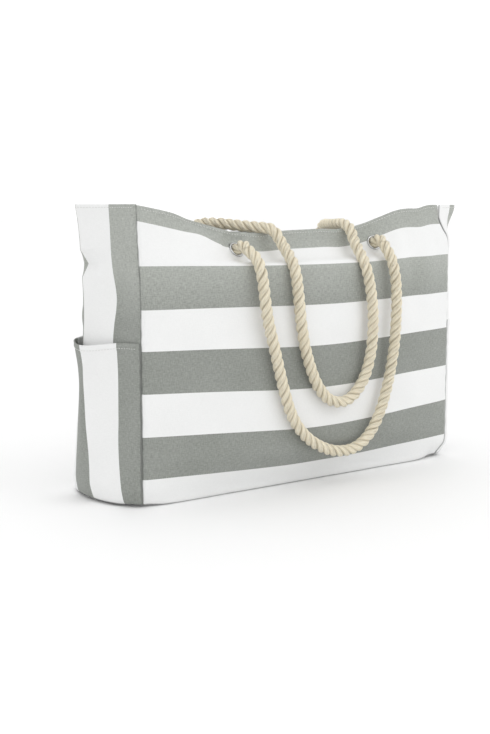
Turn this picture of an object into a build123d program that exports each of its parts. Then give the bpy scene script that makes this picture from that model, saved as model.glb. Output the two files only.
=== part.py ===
"""Striped canvas beach bag with two rope handles, in millimetres.

The front faces -Y, the bag stands on Z = 0, and X runs across the front. Every panel is a thin lofted cloth
shell: the front and back bulge with the filling and lean in towards each other at the top, and the two ends
bow outward. Each handle is one rope that leaves the bag through two eyelets and is knotted inside.
"""

from build123d import *
import math
import os

# Driving dimensions
SEAM_X = 264.0  # corner seams, half of the 528 mm front
SEAM_Y = 80.0  # corner seams as the filled bag stands, front to back
CLOTH_HEIGHT = 370.0
CANVAS = 1.5
LINING = 0.9
GAP = 0.3
LINING_GAP = 1.2  # the lining hangs a little loose inside the canvas

FRONT_BULGE = 32.0
BACK_BULGE = 20.0
FRONT_LEAN = 13.0
BACK_LEAN = 68.0
FRONT_SAG = 33.0
BACK_SAG = 36.0
BOTTOM_ROUND = 60.0  # cloth height over which the bulge grows from the base seam

END_BULGE = 27.0
END_DENT = 12.0
END_DENT_Z = 272.0
END_DENT_SPREAD = 34.0
POCKET_BULGE = 34.0
POCKET_HEIGHT = 200.0
POCKET_SPREAD = 60.0  # height over which the pocket opens from the base seam

EYELET_X = 121.0
EYELET_HEIGHT = 337.0  # along the cloth, from the base seam
EYELET_HOLE = 8.5
EYELET_BARREL = 9.4
EYELET_FLANGE = 11.0
WASHER_RADIUS = 13.5
EYELET_CLEARANCE = 0.35
FLANGE_STANDOFF = 2.6
FLANGE_THICKNESS = 1.3

ROPE_RADIUS = 7.75
ROPE_JOINT_GAP = 0.4
KNOT_RADIUS = 17.0
KNOT_DEPTH = 25.5  # from the cloth to the knot's centre, inside
PIVOT_HEIGHT = 13.5  # from the cloth to the point where the rope swings, outside

# Cloth heights at which a panel changes slope, and how much of the lean and of the sag is reached there
FRONT_KNEES = [(288.0, 0.0, 0.0), (318.0, 0.56, 0.75), (354.0, 1.0, 1.0)]
BACK_KNEES = [(240.0, 0.0, 0.0), (305.0, 0.60, 0.68), (354.0, 1.0, 1.0)]
KNEE_ROUND = 9.0  # half the cloth height over which a slope changes
FRONT_LEVELS = [15, 35, 60, 100, 160, 220, 262, 279, 288, 297, 309, 322, 336, 348, 359]
BACK_LEVELS = [15, 35, 60, 100, 160, 205, 228, 246, 275, 305, 330, 348, 359]

# Rope routes from the left pivot side to the right one. The first and last points of a loop are its bends.
FRONT_NECKS = {
    "left": [(-116.0, -98.0, 314.5), (-112.0, -112.0, 305.0)],
    "right": [(117.0, -101.0, 320.0), (115.0, -113.0, 309.0)],
}
FRONT_LOOP = [
    (-112.0, -112.0, 305.0),
    (-110.5, -120.0, 291.0),
    (-108.0, -122.0, 270.0),
    (-103.0, -121.5, 236.0),
    (-90.0, -121.5, 190.0),
    (-75.0, -121.5, 138.0),
    (-61.0, -122.0, 97.0),
    (-31.0, -122.0, 63.0),
    (15.0, -121.5, 43.0),
    (57.0, -121.5, 44.0),
    (90.0, -122.0, 73.0),
    (110.0, -122.0, 123.0),
    (122.0, -121.5, 173.0),
    (126.0, -121.5, 222.0),
    (124.0, -122.0, 262.0),
    (119.0, -121.0, 291.0),
    (115.0, -113.0, 309.0),
]
BACK_NECKS = {
    "left": [
        (-120.0, 33.0, 335.0),
        (-114.0, 18.0, 350.5),
        (-101.0, -10.0, 354.5),
        (-84.0, -36.0, 355.5),
        (-69.0, -60.0, 353.5),
        (-58.0, -80.0, 340.0),
    ],
    "right": [
        (120.0, 33.0, 335.0),
        (114.0, 18.0, 350.5),
        (101.0, -8.0, 354.5),
        (89.0, -34.0, 355.5),
        (80.0, -60.0, 353.5),
        (76.0, -80.0, 340.0),
    ],
}
BACK_LOOP = [
    (-58.0, -80.0, 340.0),
    (-53.0, -91.0, 320.0),
    (-54.0, -107.5, 305.0),
    (-55.0, -121.0, 288.0),
    (-52.0, -123.0, 262.0),
    (-47.0, -122.0, 224.0),
    (-38.0, -122.0, 181.0),
    (-22.0, -122.0, 141.0),
    (3.0, -122.0, 112.0),
    (38.0, -122.0, 109.0),
    (67.0, -122.0, 136.0),
    (80.0, -122.0, 178.0),
    (82.0, -122.0, 222.0),
    (75.0, -123.0, 260.0),
    (69.0, -121.0, 288.0),
    (70.0, -107.5, 305.0),
    (74.0, -91.0, 320.0),
    (76.0, -80.0, 340.0),
]


def smooth(value):
    """An even S-shaped step from 0 to 1."""
    t = min(max(value, 0.0), 1.0)
    return t * t * (3.0 - 2.0 * t)


def front_slack(x):
    """How much of the front's sag and lean is reached at x: full in the middle, none at the corners."""
    return smooth((x + 262.0) / 150.0) * smooth((185.0 - x) / 115.0)


def back_slack(x):
    """The same for the back, which hangs evenly."""
    return smooth((262.0 - abs(x)) / 150.0)


def fullness(x):
    """How much of a panel's bulge is reached at x."""
    return max(0.0, 1.0 - (x / SEAM_X) ** 2) ** 0.8


def straight_shares(height, knees):
    """The lean and sag reached at a cloth height, linear between the knees."""
    if height <= knees[0][0]:
        return 0.0, 0.0
    for low, high in zip(knees, knees[1:]):
        if height <= high[0]:
            t = (height - low[0]) / (high[0] - low[0])
            return low[1] + t * (high[1] - low[1]), low[2] + t * (high[2] - low[2])
    return 1.0, 1.0


def shares(height, knees):
    """The lean and sag reached at a cloth height, with the knees rounded."""
    samples = [straight_shares(height + KNEE_ROUND * i / 4.0, knees) for i in range(-4, 5)]
    return sum(s[0] for s in samples) / 9.0, sum(s[1] for s in samples) / 9.0


def front_point(x, height):
    """The front panel's outer surface at x and a height along the cloth."""
    lean, sag = shares(height, FRONT_KNEES)
    bulge = FRONT_BULGE * fullness(x) * smooth(height / BOTTOM_ROUND) * (1.0 - lean)
    y = -SEAM_Y - bulge + FRONT_LEAN * front_slack(x) * lean
    return Vector(x, y, height - FRONT_SAG * front_slack(x) * sag)


def back_point(x, height):
    """The back panel's outer surface at x and a height along the cloth."""
    lean, sag = shares(height, BACK_KNEES)
    bulge = BACK_BULGE * fullness(x) * smooth(height / BOTTOM_ROUND) * (1.0 - lean)
    y = SEAM_Y + bulge - BACK_LEAN * back_slack(x) * lean
    return Vector(x, y, height - BACK_SAG * back_slack(x) * sag)


def inward(surface, x, height, side):
    """Unit vector in the YZ plane from a panel's outer face into the bag. side is -1 at the front, 1 at the back."""
    rise = surface(x, height + 1.0) - surface(x, height - 1.0)
    return Vector(0, side * -rise.Z, side * rise.Y).normalized()


def panel(surface, side, levels, seam_x, bottom, top, inset, thickness):
    """A front or back cloth shell: a loft of thin upright sections spaced across the bag."""
    heights = [bottom] + [h for h in levels if bottom < h < top] + [top]
    sections = []
    count = 24
    for i in range(count + 1):
        x = seam_x * (2.0 * i / count - 1.0)
        outer = []
        inner = []
        for h in heights:
            into = inward(surface, x, min(max(h, 1.0), CLOTH_HEIGHT - 1.0), side)
            outer.append(surface(x, h) + into * inset)
            inner.append(surface(x, h) + into * (inset + thickness))
        edges = [Spline(*outer), Line(outer[-1], inner[-1]), Spline(*inner), Line(inner[0], outer[0])]
        sections.append(Face(Wire(edges)))
    return loft(sections, ruled=True)


def end_bulge(z):
    """How far an end panel bows out at height z, with a shallow dent above the pocket."""
    dent = math.exp(-(((z - END_DENT_Z) / END_DENT_SPREAD) ** 2))
    return END_BULGE - END_DENT * dent


def pocket_bulge(z):
    """How far a pocket bows out at height z: as far as the end at the base seam, and further above it."""
    return END_BULGE + (POCKET_BULGE - END_BULGE) * smooth(z / POCKET_SPREAD)


def bow(y, bulge, inset):
    """How far out from the middle an end's surface lies at y, for a bulge and an inset from the outer face."""
    return SEAM_X - inset + bulge * (1.0 - (y / SEAM_Y) ** 2)


def end_shell(side, half_width, bulge_at, heights, inset, thickness):
    """An end cloth shell, bowed outward: a loft of thin level sections. side is -1 at the left, 1 at the right."""
    sections = []
    for z in heights:
        outer = []
        inner = []
        for i in range(9):
            y = half_width * (i / 4.0 - 1.0)
            outer.append(Vector(side * bow(y, bulge_at(z), inset), y, z))
            inner.append(Vector(side * bow(y, bulge_at(z), inset + thickness), y, z))
        edges = [Spline(*outer), Line(outer[-1], inner[-1]), Spline(*inner), Line(inner[0], outer[0])]
        sections.append(Face(Wire(edges)))
    return loft(sections, ruled=True)


def base(z, inset, thickness):
    """The base cloth, with its two ends bowed out like the end panels."""
    half = SEAM_Y - inset
    ys = [half * (i / 4.0 - 1.0) for i in range(9)]
    right = [Vector(bow(y, END_BULGE, inset), y, z) for y in ys]
    left = [Vector(-p.X, p.Y, z) for p in reversed(right)]
    edges = [Spline(*right), Line(right[-1], left[0]), Spline(*left), Line(left[-1], right[0])]
    return extrude(Face(Wire(edges)), amount=thickness, dir=(0, 0, 1))


def eyelet_plane(surface, x, outward_y):
    """A plane on the cloth at an eyelet, its Z axis pointing out of the bag."""
    step = 4.0
    across = surface(x + step, EYELET_HEIGHT) - surface(x - step, EYELET_HEIGHT)
    along = surface(x, EYELET_HEIGHT + step) - surface(x, EYELET_HEIGHT - step)
    normal = across.cross(along).normalized()
    if normal.Y * outward_y < 0:
        normal = normal * -1
    return Plane(origin=surface(x, EYELET_HEIGHT), x_dir=across, z_dir=normal)


def ring(plane, inner, outer, low, high):
    """A flat ring on the eyelet's axis, between two heights above the cloth."""
    blank = Cylinder(outer, high - low) - Cylinder(inner, high - low)
    return plane * Pos(0, 0, (low + high) / 2) * blank


def eyelet(plane):
    """The outer half of an eyelet: a rounded flange and the barrel that passes through the cloth."""
    top = FLANGE_STANDOFF + FLANGE_THICKNESS
    flange = ring(plane, EYELET_HOLE, EYELET_FLANGE, FLANGE_STANDOFF, top)
    low = -FLANGE_STANDOFF - CANVAS - LINING_GAP - LINING
    barrel = ring(plane, EYELET_HOLE, EYELET_BARREL, low, FLANGE_STANDOFF)
    return fillet((flange + barrel).edges().group_by(SortBy.LENGTH)[-1], 0.5)


def washer(plane):
    """The inner ring that the barrel is crimped over."""
    high = -FLANGE_STANDOFF - CANVAS - LINING_GAP - LINING - GAP
    return ring(plane, EYELET_HOLE, WASHER_RADIUS, high - FLANGE_THICKNESS, high)


def eyelet_bore(plane):
    """The hole that an eyelet needs through canvas and lining."""
    return plane * Cylinder(EYELET_BARREL + EYELET_CLEARANCE, 30.0)


def knot(plane):
    """The rope's end inside the bag: a knot, and the straight piece that passes through the eyelet."""
    top = PIVOT_HEIGHT - ROPE_RADIUS - ROPE_JOINT_GAP
    stem = plane * Pos(0, 0, (top - KNOT_DEPTH) / 2) * Cylinder(ROPE_RADIUS, top + KNOT_DEPTH)
    return stem + plane * Pos(0, 0, -KNOT_DEPTH) * Sphere(KNOT_RADIUS)


def pivot(plane):
    """The point just outside an eyelet about which the rope swings."""
    return plane.origin + plane.z_dir * PIVOT_HEIGHT


def rope(points, name):
    """A rope tube along straight runs joined by arcs as large as the runs allow, with rounded ends."""
    route = [Vector(*p) for p in points]
    runs = [b - a for a, b in zip(route, route[1:])]
    radii = []
    for before, after in zip(runs, runs[1:]):
        half_turn = math.radians(before.get_angle(after)) / 2
        radii.append(0.45 * min(before.length, after.length) / math.tan(half_turn))
    path = FilletPolyline(*route, radius=radii)
    start = Plane(origin=route[0], z_dir=runs[0])
    tube = sweep(start * Circle(ROPE_RADIUS), path=path)
    length = path.length
    share = tube.volume / (math.pi * ROPE_RADIUS**2 * length)
    print(name, "length", round(length), "volume share", round(share, 4), "radii", [round(r) for r in radii])
    return tube


def short_of(end, before):
    """The point on the run from before to end that leaves room for the next piece's rounded end."""
    back = (before - end).normalized()
    return end + back * (ROPE_RADIUS + ROPE_JOINT_GAP)


def neck(plane, points, name):
    """The rope from its pivot at an eyelet to just short of the bend where the loop begins."""
    start = pivot(plane)
    route = [start] + [Vector(*p) for p in points]
    route[-1] = short_of(route[-1], route[-2])
    return rope(route, name) + Pos(*start) * Sphere(ROPE_RADIUS)


def loop(points, name):
    """The hanging loop of a handle, with a rounded end at each bend."""
    ends = Pos(*points[0]) * Sphere(ROPE_RADIUS) + Pos(*points[-1]) * Sphere(ROPE_RADIUS)
    return rope(points, name) + ends


def build():
    """Every sub-part of the bag by node name."""
    planes = {}
    for side, x in (("left", -EYELET_X), ("right", EYELET_X)):
        planes["front", side] = eyelet_plane(front_point, x, -1)
        planes["back", side] = eyelet_plane(back_point, x, 1)
    front_bores = [eyelet_bore(planes["front", s]) for s in ("left", "right")]
    back_bores = [eyelet_bore(planes["back", s]) for s in ("left", "right")]
    lining_inset = CANVAS + LINING_GAP
    lining_top = CLOTH_HEIGHT - 4.0
    lining_bottom = CANVAS + LINING + 3 * GAP
    end_y = SEAM_Y - CANVAS - GAP
    lining_end_y = SEAM_Y - lining_inset - LINING - GAP
    dent_heights = [END_DENT_Z + END_DENT_SPREAD * i / 3.0 for i in range(-6, 7)]
    end_heights = [0] + dent_heights + [CLOTH_HEIGHT]
    lining_heights = [lining_bottom] + end_heights[1:-1] + [lining_top]
    pocket_heights = [POCKET_SPREAD * i / 5.0 for i in range(6)] + [130, POCKET_HEIGHT]

    parts = {}
    front = panel(front_point, -1, FRONT_LEVELS, SEAM_X, 0.0, CLOTH_HEIGHT, 0.0, CANVAS)
    back = panel(back_point, 1, BACK_LEVELS, SEAM_X, 0.0, CLOTH_HEIGHT, 0.0, CANVAS)
    parts["front_panel"] = front - front_bores
    parts["back_panel"] = back - back_bores
    lining_x = SEAM_X - lining_inset
    shape = (lining_x, lining_bottom, lining_top, lining_inset, LINING)
    parts["lining_front"] = panel(front_point, -1, FRONT_LEVELS, *shape) - front_bores
    parts["lining_back"] = panel(back_point, 1, BACK_LEVELS, *shape) - back_bores
    for side, sign in (("left", -1), ("right", 1)):
        parts[side + "_gusset"] = end_shell(sign, end_y, end_bulge, end_heights, 0.0, CANVAS)
        ends = (sign, lining_end_y, end_bulge, lining_heights, lining_inset, LINING)
        parts["lining_" + side] = end_shell(*ends)
        outset = -GAP - CANVAS
        parts[side + "_pocket"] = end_shell(sign, SEAM_Y, pocket_bulge, pocket_heights, outset, CANVAS)
    parts["base_panel"] = base(0.0, CANVAS + 2 * GAP, CANVAS)
    parts["lining_base"] = base(CANVAS + GAP, lining_inset, LINING)

    for (face, side), plane in planes.items():
        name = face + "_" + side
        parts[name + "_eyelet"] = eyelet(plane)
        parts[name + "_washer"] = washer(plane)
        parts[name + "_knot"] = knot(plane)
        necks = FRONT_NECKS if face == "front" else BACK_NECKS
        parts[name + "_rope"] = neck(plane, necks[side], name + "_rope")
    parts["front_handle_rope"] = loop(FRONT_LOOP, "front_handle_rope")
    parts["back_handle_rope"] = loop(BACK_LOOP, "back_handle_rope")

    for (face, side), plane in planes.items():
        where = pivot(plane)
        print(face, side, "pivot", [round(v, 2) for v in where], "eyelet", [round(v, 2) for v in plane.origin])
    return parts


def main():
    os.makedirs("parts", exist_ok=True)
    for name, shape in build().items():
        export_step(shape, "parts/" + name + ".step")


main()
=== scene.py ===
import math

import bmesh
import bpy
import numpy as np
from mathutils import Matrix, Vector, noise


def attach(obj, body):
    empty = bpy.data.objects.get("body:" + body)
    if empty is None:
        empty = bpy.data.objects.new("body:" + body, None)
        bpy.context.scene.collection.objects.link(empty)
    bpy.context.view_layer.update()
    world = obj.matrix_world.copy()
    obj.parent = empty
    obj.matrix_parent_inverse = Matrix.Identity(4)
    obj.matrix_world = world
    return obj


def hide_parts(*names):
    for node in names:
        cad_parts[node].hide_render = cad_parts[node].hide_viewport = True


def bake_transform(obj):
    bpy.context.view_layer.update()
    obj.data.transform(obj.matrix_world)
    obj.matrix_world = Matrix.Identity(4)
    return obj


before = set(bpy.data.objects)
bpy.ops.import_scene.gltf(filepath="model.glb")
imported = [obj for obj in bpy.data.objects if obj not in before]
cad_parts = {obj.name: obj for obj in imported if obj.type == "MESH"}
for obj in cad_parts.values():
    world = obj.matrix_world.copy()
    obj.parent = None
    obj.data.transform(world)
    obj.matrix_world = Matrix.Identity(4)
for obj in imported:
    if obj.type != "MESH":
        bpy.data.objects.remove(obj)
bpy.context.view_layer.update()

MM = 0.001

# The cloth, as part.py shapes it. X runs across the front, -Y is the front, heights run up the cloth.
SEAM_X = 264 * MM
SEAM_Y = 80 * MM
CLOTH_HEIGHT = 370 * MM
END_WIDTH = 178 * MM
CANVAS = 1.5 * MM
LINING = 0.9 * MM
LINING_INSET = 2.9 * MM
LINING_DROP = 4 * MM
FRONT_BULGE = 32 * MM
BACK_BULGE = 20 * MM
FRONT_LEAN = 13 * MM
BACK_LEAN = 68 * MM
BACK_SAG = 36 * MM
BOTTOM_ROUND = 60 * MM
POCKET_HEIGHT = 203 * MM
POCKET_OUTSET = 1.9 * MM
SEAM_DEPTH = 1.8 * MM
SEAM_ROUND = 5 * MM
END_LIFT = 3.5 * MM  # the ends' bottom edge stands this far off the floor, at its middle
END_LIFT_HEIGHT = 50 * MM
HEM_WIDTH = 10 * MM
HEM_STEP = 0.7 * MM
HEM_STEP_WIDTH = 1.5 * MM
BOW_ROUND = 12 * MM
FULLNESS_POWER = 0.8

# The top edges are slack between the corners. The front's slack part ends further from the right corner.
SLACK_EDGE = 262 * MM
SLACK_RISE = 150 * MM
FRONT_SLACK_END = 185 * MM
FRONT_SLACK_FADE = 115 * MM

# Cloth heights at which a panel changes slope, with the shares of the lean and of the sag reached there
FRONT_KNEES = np.array([[297, 0, 0], [325, 0.56, 0.75], [356, 1, 1]]) * [MM, 1, 1]
BACK_KNEES = np.array([[240, 0, 0], [305, 0.60, 0.68], [354, 1, 1]]) * [MM, 1, 1]
KNEE_ROUND = 9 * MM

# How far the front's top edge hangs below its corners, by X: lowest where the back rope presses on it
EDGE_DROP = np.array([
    [-264, 0.5], [-233, 6], [-209, 11], [-185, 19], [-142, 29], [-119, 33.5], [-95, 36], [-73, 38], [-28, 34],
    [36, 32], [58, 33.5], [89, 30.5], [115, 24.5], [138, 16.5], [164, 7.5], [184, 5], [207, 5.5], [221, 2.5],
    [243, 0], [264, 0],
]) * MM
EDGE_ROUND = 9 * MM

# How far the ends and the pockets bow out, by height
END_BOW = np.array([[0, 22], [25, 25], [150, 23], [215, 20], [262, 19], [320, 23], [350, 25], [370, 29]]) * MM
POCKET_BOW = np.array([[0, 23], [14, 30], [60, 28.5], [130, 27.5], [175, 27.5], [203, 33]]) * MM

# The left end and its pocket stand out in one upright fold, which grows from the floor up to FOLD_START.
# Each row is a place along the cloth from the front seam, its depth and its share of the bow.
LEFT_FOLD = np.array([
    [0, -80, 0], [52, -28, 0.3], [98, 21, 1.1], [106, 28, 1.1], [126, 36, 0.72], [150, 55, 0.34],
    [178, 80, 0],
]) * [MM, MM, 1]
LEFT_POCKET_FOLD = np.array([
    [0, -80, 0], [40, -41, 0.2], [90, 10, 1], [96, 15, 1.02], [122, 34, 0.78], [150, 57, 0.4], [178, 80, 0],
]) * [MM, MM, 1]
FOLD_START = 110 * MM

# The right end's top edge flares beside the front seam.
# Each row is a place along the cloth from that seam, its depth and its outward reach.
RIGHT_FLARE = np.array([
    [0, -80, 0], [18, -78, 16], [22, -76, 19], [36, -74, 35], [62, -48, 38], [89, -19, 29], [178, 80, 0],
]) * MM
FLARE_LOW = 305 * MM
FLARE_HIGH = 370 * MM

# Corners that lean, slump or are rounded. Each row is the corner's X and Y, the reach round it in X and Y,
# the whole move in X, Y and Z, and the heights where the move starts and is whole.
SLUMPS = np.array([
    [-264, -80, 45, 40, -4, 2, 0, 235, 375],
    [264, -80, 60, 40, 8, 0, 0, -40, 20],
    [264, -80, 45, 30, -20, 3, 0, 316, 356],
    [-264, 80, 90, 45, 3, -26, 0, 0, 260],
    [264, 80, 115, 70, 0, -20, -30, 200, 360],
    [264, -80, 32, 40, -10, 6, 4, 26, 0],
    [-264, -80, 26, 30, 4, 5, 3, 22, 0],
]) * MM

# Small gathers along the seams. The front's seams also wander a little sideways.
PUCKER_DEPTH = 0.45 * MM
PUCKER_STEP = 4.3 * MM
PUCKER_DRIFT = 23 * MM
PUCKER_FADE = 7 * MM
SIDE_PUCKER = 0.6
SIDE_PUCKER_WIDTH = 6 * MM

# The front's hem rolls back at the left, so that less of it shows
ROLL_X = -172 * MM
ROLL_SPREAD = 26 * MM
ROLL_BACK = 8 * MM
ROLL_START = 346 * MM
ROLL_RISE = 22 * MM
ROLL_UP = 6 * MM
ROLL_PEAK = 352 * MM
ROLL_BAND = 13 * MM

# The front's top edge waves in and out
EDGE_WAVE = 2.2 * MM
EDGE_WAVE_STEP = 31 * MM
EDGE_WAVE_START = 300 * MM
EDGE_WAVE_RISE = 60 * MM

# Slow uneven waves of each sheet: their stretch along it, the noise's seed, their size and their depth
WAVES = {
    "front": [(1, 3.1, 70 * MM, 2.0 * MM), (0.4, 6.4, 24 * MM, 0.9 * MM)],
    "back": [(1, 9.4, 75 * MM, 1.8 * MM), (0.4, 1.7, 24 * MM, 0.9 * MM)],
    "left end": [(1, 5.2, 50 * MM, 1.3 * MM)],
    "right end": [(1, 7.7, 50 * MM, 1.3 * MM)],
    "left pocket": [(1, 2.2, 45 * MM, 0.8 * MM)],
    "right pocket": [(1, 4.9, 45 * MM, 0.8 * MM)],
}

# Single folds and dents: centre and spread along the cloth, centre and spread up it, and how far out
FRONT_FOLDS = np.array([[212, 16, 285, 60, 3.2], [178, 14, 285, 60, -2.56]]) * MM
LEFT_FOLDS = np.array([[48, 30, 254, 30, -6], [145, 24, 232, 26, 6]]) * MM

# The left end is creased sharply inward above the pocket
CREASE_HEIGHT = 297 * MM
CREASE_HALF = 17 * MM
CREASE_DEPTH = 12 * MM
CREASE_PLACE = 96 * MM
CREASE_SPREAD = 20 * MM

# The right end and its pocket stand out beside the front seam
BESIDE_SEAM = 10 * MM
SEAM_FOLD = 5 * MM
SEAM_FOLD_SWING = 1.5 * MM
SEAM_FOLD_STEP = 26 * MM

# The left pocket's mouth stands off towards the back and hangs a little
MOUTH_START = 140 * MM
MOUTH_RISE = 60 * MM
MOUTH_OUT = np.array([132, 24, 5]) * MM
MOUTH_SAG = np.array([85, 38, 7]) * MM

# The base reaches just short of the ends' cloth, and curls up with it from this share of its length
BASE_GAP = 0.5 * MM
BASE_RAISE = 0.1 * MM
BASE_CURL = 0.86

# Cloth heights of the edges between the front's stripes, at its left seam, right seam and middle.
# The first edge of each is below the floor. STRIPE_COUNTS numbers the edges.
LEFT_EDGES = np.array([-17, 36, 89, 142, 194, 244, 297, 352, 405]) * MM
RIGHT_EDGES = np.array([-18, 34, 86, 137, 193, 245, 300, 343, 395]) * MM
MIDDLE_EDGES = np.array([-23, 29, 79, 131, 187, 241, 295, 343, 395]) * MM
MIDDLE_X = 10 * MM
MIDDLE_SPREAD = 150 * MM
STRIPE_COUNTS = np.arange(-1, 8)
END_STRIPE = 52 * MM
POCKET_SHIFT = 12 * MM

# The left pocket's cloth is tucked towards its base: how far, and up to what height, at its front and back
TUCK_FRONT = 16 * MM
TUCK_FRONT_TOP = 95 * MM
TUCK_BACK = 13 * MM
TUCK_BACK_TOP = 170 * MM
TUCK_CHANGE = 30 * MM
TUCK_CHANGE_WIDTH = 50 * MM

# Each eyelet's place on its panel: X and the height up the cloth
EYELET_SPOTS = {
    ("front", "left"): (-114 * MM, 344 * MM),
    ("front", "right"): (120 * MM, 338 * MM),
    ("back", "left"): (-116 * MM, 337 * MM),
    ("back", "right"): (121 * MM, 337 * MM),
}
EYELET_PRESS = 15 * MM  # the cloth is flat this far round an eyelet
EYELET_FADE = 27 * MM
PRESS_REACH = 12 * MM
HOLE_RADIUS = 9 * MM
PIVOT_HEIGHT = 13.5 * MM
STEM_DEPTH = 6 * MM

ROPE_RADIUS = 7.75 * MM
STRAND_RADIUS = 3.9 * MM
LAY = 35.5 * MM  # the length in which a strand goes once round

# Rope routes in mm, from the left eyelet to the right one. They are part.py's, except that the back rope lies
# lower over the mouth.
FRONT_ROUTE = [
    (-116, -98, 314.5),
    (-112, -112, 305), (-110.5, -120, 291), (-108, -122, 270), (-103, -121.5, 236), (-90, -121.5, 190),
    (-75, -121.5, 138), (-61, -122, 97), (-31, -122, 63), (15, -121.5, 43), (57, -121.5, 44),
    (90, -122, 73), (110, -122, 123), (122, -121.5, 173), (126, -121.5, 222), (124, -122, 262),
    (119, -121, 291), (115, -113, 309),
    (117, -101, 320),
]
BACK_ROUTE = [
    (-115, 33, 335), (-109, 18, 345.5), (-97, -10, 346.5), (-82, -36, 343.5), (-69, -60, 341),
    (-58, -80, 340), (-53, -91, 320), (-54, -107.5, 305), (-55, -121, 288), (-52, -123, 262),
    (-47, -122, 224), (-38, -122, 181), (-22, -122, 141), (3, -122, 112), (38, -122, 109),
    (67, -122, 136), (80, -122, 178), (82, -122, 222), (75, -123, 260), (69, -121, 288),
    (70, -107.5, 305), (74, -91, 320), (76, -80, 340),
    (80, -60, 345), (89, -34, 343.5), (101, -8, 343), (114, 18, 343), (120, 33, 332),
]

# Each handle's route, the length of its end pieces, where their turn starts and ends, in mm from the eyelet's
# centre, and where the middle piece's bend starts and ends, in mm
HANDLES = {
    "front": (FRONT_ROUTE, 33 * MM, [(0, -3, 2), (3, -26, 7)], [(0, -103, 315), (0, -120, 290)]),
    "back": (BACK_ROUTE, 70 * MM, [(0, 0, 0), (0, 9, 30)], [(0, -66, 350), (0, -94, 318)]),
}


# ---------------- shape of the cloth


def smooth(value):
    """An even S-shaped step from 0 to 1."""
    t = np.clip(value, 0, 1)
    return t * t * (3 - 2 * t)


def hill(value, centre, spread):
    """A smooth bump of height 1."""
    return np.exp(-(((value - centre) / spread) ** 2))


def front_slack(x):
    """The share of its lean that the front's top edge takes at x."""
    return smooth((x + SLACK_EDGE) / SLACK_RISE) * smooth((FRONT_SLACK_END - x) / FRONT_SLACK_FADE)


def back_slack(x):
    """The share of its lean and sag that the back's top edge takes at x."""
    return smooth((SLACK_EDGE - abs(x)) / SLACK_RISE)


def fullness(x):
    """How far a panel bulges at x, as a share of its bulge."""
    return np.maximum(0, 1 - (x / SEAM_X) ** 2) ** FULLNESS_POWER


def end_fullness(u):
    """The same for an end's waves, u along its cloth."""
    return np.sin(math.pi * u / END_WIDTH)


def blurred(value, spread, table, column, steps=4):
    """A column of a table read at a value, with its corners rounded by a mean over a spread on both sides."""
    samples = [value + spread * i / steps for i in range(-steps, steps + 1)]
    return sum(np.interp(s, table[:, 0], table[:, column]) for s in samples) / (2 * steps + 1)


def front_drop(x):
    """How far the front's top edge hangs below its corners at x."""
    return blurred(x, EDGE_ROUND, EDGE_DROP, 1, steps=3)


def slumped(x, y, z):
    """The cloth's place after its corners have leaned and slumped."""
    for corner_x, corner_y, round_x, round_y, move_x, move_y, move_z, low, high in SLUMPS:
        share = hill(x, corner_x, round_x) * hill(y, corner_y, round_y) * smooth((z - low) / (high - low))
        x = x + move_x * share
        y = y + move_y * share
        z = z + move_z * share
    return x, y, z


def ripple(a, b, seed, size):
    """Uneven waves from -1 to 1 over the cloth."""
    where = np.stack([a / size, b / size, np.full_like(a, seed)], -1).reshape(-1, 3)
    return np.array([noise.noise(Vector(p)) for p in where]).reshape(a.shape)


def waves(sheet, a, b):
    """A sheet's slow waves, as a distance outward."""
    return sum(depth * ripple(stretch * a, b, seed, size) for stretch, seed, size, depth in WAVES[sheet])


def folds(a, b, table):
    """A sheet's single folds and dents, as a distance outward."""
    return sum(out * hill(a, place, width) * hill(b, up, height) for place, width, up, height, out in table)


def seam_pucker(along, distance, seed):
    """Small gathers beside a seam, fading out away from it."""
    gathers = np.sin(along / PUCKER_STEP + 3 * np.sin(along / PUCKER_DRIFT + seed))
    return PUCKER_DEPTH * gathers * np.exp(-distance / PUCKER_FADE)


def seam_turn(distance):
    """How far the cloth turns inward at a seam, from the distance to it."""
    return SEAM_DEPTH * (1 - np.clip(distance / SEAM_ROUND, 0, 1)) ** 2


def plain_panel(face, x, h):
    """Depth and height of the front or back without its folds. It bulges, and leans and sags at the mouth."""
    front = face == "front"
    knees = FRONT_KNEES if front else BACK_KNEES
    lean = blurred(h, KNEE_ROUND, knees, 1)
    sag = blurred(h, KNEE_ROUND, knees, 2)
    bulge = (FRONT_BULGE if front else BACK_BULGE) * fullness(x) * smooth(h / BOTTOM_ROUND) * (1 - lean)
    if front:
        return -SEAM_Y - bulge + FRONT_LEAN * front_slack(x) * lean, h - front_drop(x) * sag
    return SEAM_Y + bulge - BACK_LEAN * back_slack(x) * lean, h - BACK_SAG * back_slack(x) * sag


def front_sheet(x, h):
    """The front panel's outer face at x and a height along the cloth."""
    y, z = plain_panel("front", x, h)
    roll = hill(x, ROLL_X, ROLL_SPREAD)
    y = y + ROLL_BACK * roll * smooth((h - ROLL_START) / ROLL_RISE)
    z = z + ROLL_UP * roll * hill(h, ROLL_PEAK, ROLL_BAND)
    edge = smooth((h - EDGE_WAVE_START) / EDGE_WAVE_RISE)
    y = y + (waves("front", x, h) - EDGE_WAVE * edge * np.sin(x / EDGE_WAVE_STEP)) * fullness(x)
    y = y - folds(x, h, FRONT_FOLDS)
    gap = SEAM_X - abs(x)
    turn = seam_turn(gap)
    y = y + turn + seam_turn(h) + seam_pucker(h, gap, 1.0)
    sideways = turn + SIDE_PUCKER * seam_pucker(h, 0, 4.0) * (gap < SIDE_PUCKER_WIDTH)
    return slumped(x - np.sign(x) * sideways, y, z)


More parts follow.
